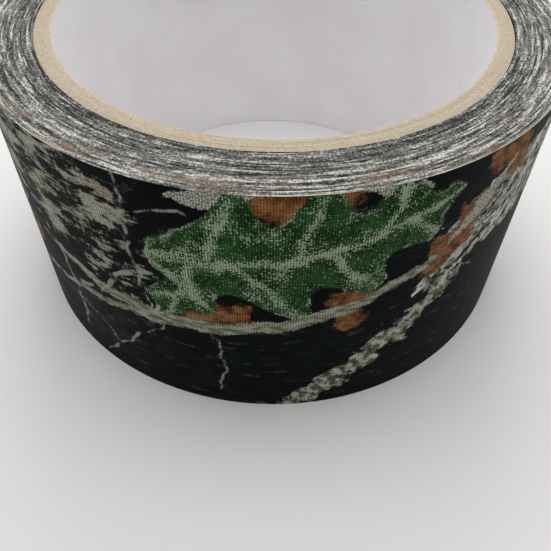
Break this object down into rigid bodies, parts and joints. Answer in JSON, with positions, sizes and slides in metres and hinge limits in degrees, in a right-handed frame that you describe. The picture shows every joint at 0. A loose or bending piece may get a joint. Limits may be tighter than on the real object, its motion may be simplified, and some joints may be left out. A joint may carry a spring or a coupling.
{
  "type": "duct tape roll",
  "caption": "Roll of printed cloth duct tape on a spiral-wound paperboard core, with a free end that peels away from the roll in hinged leaves.",
  "frame": {"origin": "centre of the roll's lower side face, on its axis, where it stands on a surface", "axes": "+Z along the roll's axis, up; +X and +Y across the roll; the strip's free end is at 135 degrees from +X towards +Y"},
  "size_m": [0.0998, 0.0999, 0.05],
  "materials": {
    "core_liner": "smooth white liner paper, slightly glossy",
    "core_board": "kraft paperboard, matt, cut edge with fine ply lines",
    "tape_edge": "cut edges of many layers of tape, streaky grey, white and near-black, matt",
    "tape_print": "polyethylene-coated cloth with a woodland camouflage print, satin, fine weave relief"
  },
  "bodies": {
    "roll": {"core_liner": "core_liner", "core_ply_1": "core_board", "core_ply_2": "core_board", "core_ply_3": "core_board", "core_ply_4": "core_board", "core_ply_5": "core_board", "tape_winding": "tape_edge", "tape_last_turn": "tape_print"},
    "free_end_root": {"free_end_1": "tape_print"},
    "free_end_middle": {"free_end_2": "tape_print"},
    "free_end_tip": {"free_end_3": "tape_print"}
  },
  "joints": [
    {"name": "free_end_peel", "type": "hinge", "parent": "roll", "child": "free_end_root", "pos_m": [0, 0.04992, 0], "axis": [0, 0, -1], "range_deg": [0, 25]},
    {"name": "free_end_curl", "type": "hinge", "parent": "free_end_root", "child": "free_end_middle", "pos_m": [-0.01292, 0.04823, 0], "axis": [0, 0, -1], "range_deg": [0, 25]},
    {"name": "free_end_tip_curl", "type": "hinge", "parent": "free_end_middle", "child": "free_end_tip", "pos_m": [-0.02497, 0.04325, 0], "axis": [0, 0, -1], "range_deg": [0, 25]}
  ],
  "couplings": [
    {"joint": "free_end_curl", "follows": "free_end_peel", "ratio": 1},
    {"joint": "free_end_tip_curl", "follows": "free_end_peel", "ratio": 1}
  ]
}
